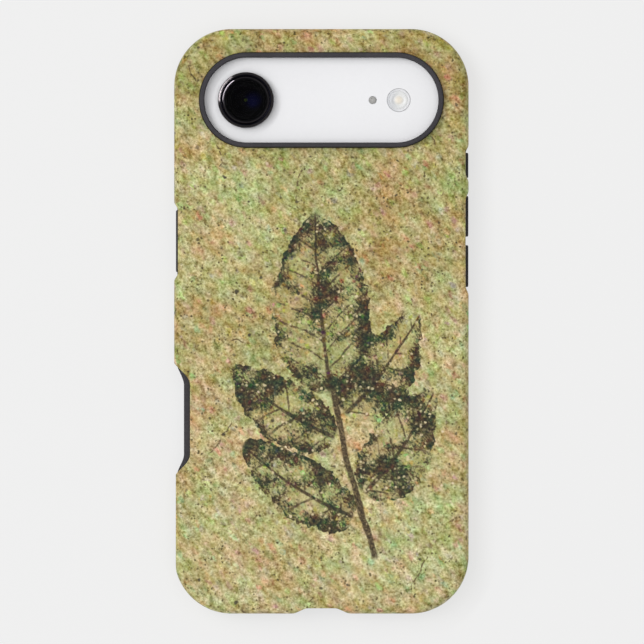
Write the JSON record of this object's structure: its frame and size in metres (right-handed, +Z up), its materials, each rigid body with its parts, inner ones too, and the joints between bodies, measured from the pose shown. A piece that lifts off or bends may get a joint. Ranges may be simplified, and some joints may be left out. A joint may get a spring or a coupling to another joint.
{
  "type": "phone in a protective case",
  "caption": "Slim smartphone lying face down in a two-layer protective case: printed hard shell over a dark rubber liner, with a wide camera window, side button covers and a thumb scoop.",
  "frame": {"origin": "under the middle of the case, in the plane of the front lip that it rests on", "axes": "+Z up, out of the printed back; +Y along the length, to the end with the camera window; +X to the right as the back is seen from above"},
  "size_m": [0.0816, 0.1618, 0.0125],
  "materials": {
    "printed_shell": "satin, printed all over with a mottled stone ground and a leaf fossil",
    "liner_rubber": "matt moulded",
    "screen_glass": "polished black glass",
    "frame_metal": "fine satin, silver",
    "white_back": "smooth white glass",
    "port_steel": "plated",
    "black_metal": "black anodised",
    "lens_glass": "coated camera glass",
    "flash_cover": "moulded with fine rings",
    "grille_mesh": "fine mesh"
  },
  "bodies": {
    "root": {"case_shell": "printed_shell", "case_liner": "liner_rubber", "phone_screen": "screen_glass", "phone_frame": "frame_metal", "phone_back": "white_back", "power_button": "frame_metal", "action_button": "frame_metal", "volume_up_button": "frame_metal", "volume_down_button": "frame_metal", "camera_control": "frame_metal", "charging_port": "port_steel", "left_screw": "port_steel", "right_screw": "port_steel", "camera_ring": "black_metal", "camera_barrel": "black_metal", "camera_glass": "lens_glass", "flash_lens": "flash_cover", "microphone_grille": "grille_mesh"}
  },
  "joints": []
}
